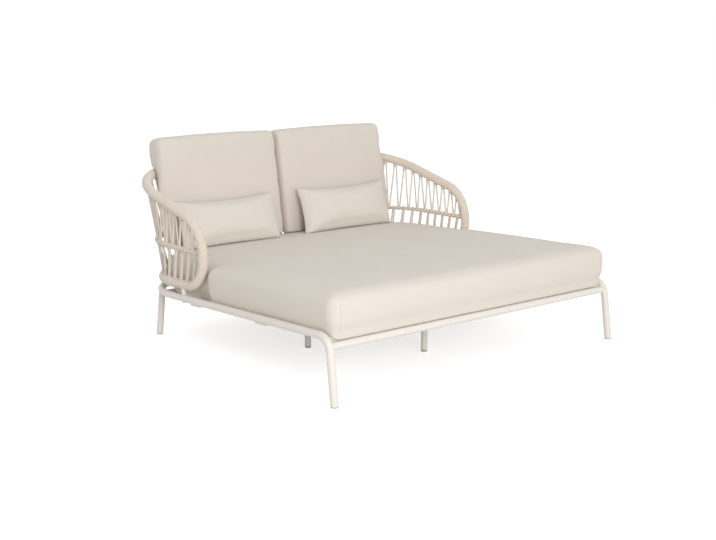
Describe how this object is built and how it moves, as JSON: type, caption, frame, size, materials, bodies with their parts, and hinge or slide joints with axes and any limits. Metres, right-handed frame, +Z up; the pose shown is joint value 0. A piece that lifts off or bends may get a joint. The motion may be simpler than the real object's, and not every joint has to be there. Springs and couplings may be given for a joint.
{
  "type": "outdoor daybed",
  "caption": "Outdoor daybed: bent-tube base, rope-wound arm and back loop with a rope lattice, deep mattress, two back cushions and two lumbar pillows that lift off.",
  "frame": {"origin": "on the floor, at the centre of the overall box", "axes": "+X across the seat to the sitter's left, seen from the front to the right; +Y from the open front to the back; +Z up"},
  "size_m": [1.6198, 1.6114, 0.8975],
  "materials": {
    "frame_paint": "fine matte powder coat",
    "rope": "round braided outdoor rope",
    "mattress_fabric": "woven outdoor fabric",
    "cushion_fabric": "woven outdoor fabric",
    "pillow_fabric": "woven outdoor fabric",
    "glide": "matte",
    "bolt": "plain"
  },
  "bodies": {
    "frame": {"side_rail_left": "frame_paint", "side_rail_right": "frame_paint", "front_rail": "frame_paint", "rear_rail": "frame_paint", "rear_leg_left": "frame_paint", "rear_leg_right": "frame_paint", "cross_bar_front": "frame_paint", "cross_bar_rear": "frame_paint", "slat_ledge": "frame_paint", "centre_beam": "frame_paint", "side_beam_left": "frame_paint", "side_beam_right": "frame_paint", "middle_leg_front": "frame_paint", "middle_leg_left": "frame_paint", "middle_leg_right": "frame_paint", "seat_slats": "frame_paint", "foot_glides": "glide", "loop_posts": "frame_paint", "loop_bolts": "bolt", "arm_core_left": "frame_paint", "arm_core_right": "frame_paint", "back_core_top": "frame_paint", "back_core_bottom": "frame_paint", "arm_wrap_left": "rope", "arm_wrap_right": "rope", "back_wrap_top": "rope", "back_wrap_bottom": "rope", "mid_rail_left": "rope", "mid_rail_right": "rope", "mid_rail_back": "rope", "weave_upper": "rope", "weave_lower": "rope"},
    "mattress": {"mattress": "mattress_fabric"},
    "back_cushion_left": {"back_cushion_left": "cushion_fabric"},
    "back_cushion_right": {"back_cushion_right": "cushion_fabric"},
    "lumbar_pillow_left": {"lumbar_pillow_left": "pillow_fabric"},
    "lumbar_pillow_right": {"lumbar_pillow_right": "pillow_fabric"}
  },
  "joints": [
    {"name": "mattress_lift", "type": "slide", "parent": "frame", "child": "mattress", "axis": [0, 0, 1], "range_m": [0, 0.6]},
    {"name": "back_cushion_left_lift", "type": "slide", "parent": "mattress", "child": "back_cushion_left", "axis": [0, 0.1599, 0.9871], "range_m": [0, 0.4]},
    {"name": "back_cushion_right_lift", "type": "slide", "parent": "mattress", "child": "back_cushion_right", "axis": [0, 0.1599, 0.9871], "range_m": [0, 0.4]},
    {"name": "lumbar_pillow_left_lift", "type": "slide", "parent": "mattress", "child": "lumbar_pillow_left", "axis": [0, 0, 1], "range_m": [0, 0.3]},
    {"name": "lumbar_pillow_right_lift", "type": "slide", "parent": "mattress", "child": "lumbar_pillow_right", "axis": [0, 0, 1], "range_m": [0, 0.3]}
  ]
}
